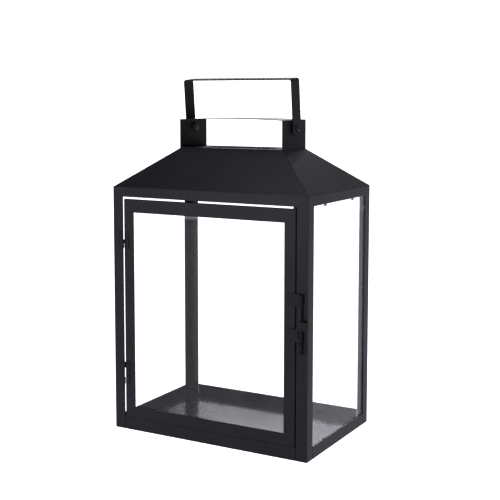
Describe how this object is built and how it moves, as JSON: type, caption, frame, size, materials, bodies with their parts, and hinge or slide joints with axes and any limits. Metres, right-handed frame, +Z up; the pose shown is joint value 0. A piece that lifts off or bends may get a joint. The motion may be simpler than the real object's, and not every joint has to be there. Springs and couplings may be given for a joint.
{
  "type": "candle lantern",
  "caption": "Black sheet-metal candle lantern: glazed rectangular body, hipped roof with a vented hood, hinged front door with drop-bolt latch, and a swinging strap handle.",
  "frame": {"origin": "centre of the underside of the tray, midway between the outer faces of the four corner posts", "axes": "+Z up; the door faces -Y; +X is to the right of someone facing the door; the handle pivots along X"},
  "size_m": [0.3046, 0.2056, 0.4906],
  "materials": {
    "black_steel": "satin black powder coat with a very fine texture",
    "black_fastener": "semi-gloss blackened steel",
    "clear_glass": "clear float glass with polished edges"
  },
  "bodies": {
    "lantern_body": {"base_tray": "black_steel", "bottom_rail_front": "black_steel", "bottom_rail_back": "black_steel", "bottom_rail_left": "black_steel", "bottom_rail_right": "black_steel", "post_front_left": "black_steel", "post_front_right": "black_steel", "post_back_left": "black_steel", "post_back_right": "black_steel", "top_rail_front": "black_steel", "top_rail_back": "black_steel", "top_rail_left": "black_steel", "top_rail_right": "black_steel", "roof_front": "black_steel", "roof_back": "black_steel", "roof_left": "black_steel", "roof_right": "black_steel", "roof_top_plate": "black_steel", "hood_ear_left": "black_steel", "hood_ear_right": "black_steel", "hood_cover": "black_steel", "glass_left": "clear_glass", "glass_right": "clear_glass", "glass_back": "clear_glass", "glass_tabs_left": "black_steel", "glass_tabs_right": "black_steel", "glass_tabs_back": "black_steel", "door_stop_bottom": "black_steel", "door_stop_right": "black_steel", "hinge_post_leaf_upper": "black_steel", "hinge_post_leaf_lower": "black_steel", "hinge_pin_upper": "black_fastener", "hinge_pin_lower": "black_fastener", "latch_keeper": "black_steel", "pivot_bolt_left": "black_fastener", "pivot_bolt_right": "black_fastener", "pivot_nut_left": "black_fastener", "pivot_nut_right": "black_fastener", "pivot_spacer_left": "black_fastener", "pivot_spacer_right": "black_fastener"},
    "door": {"door_stile_left": "black_steel", "door_stile_right": "black_steel", "door_rail_top": "black_steel", "door_rail_bottom": "black_steel", "door_glass": "clear_glass", "door_glass_tabs": "black_steel", "hinge_door_leaf_upper": "black_steel", "hinge_door_leaf_lower": "black_steel", "latch_eye_upper": "black_steel", "latch_eye_lower": "black_steel"},
    "latch": {"latch_bolt": "black_fastener", "latch_finger": "black_steel"},
    "handle": {"handle_strap": "black_steel"}
  },
  "joints": [
    {"name": "door_swing", "type": "hinge", "parent": "lantern_body", "child": "door", "pos_m": [-0.1326, -0.1009, 0.1708], "axis": [0, 0, -1], "range_deg": [0, 170]},
    {"name": "latch_drop", "type": "slide", "parent": "door", "child": "latch", "axis": [0, 0, -1], "range_m": [-0.008, 0.0095]},
    {"name": "handle_swing", "type": "hinge", "parent": "lantern_body", "child": "handle", "pos_m": [0, 0, 0.4225], "axis": [1, 0, 0], "range_deg": [-116, 105]}
  ]
}
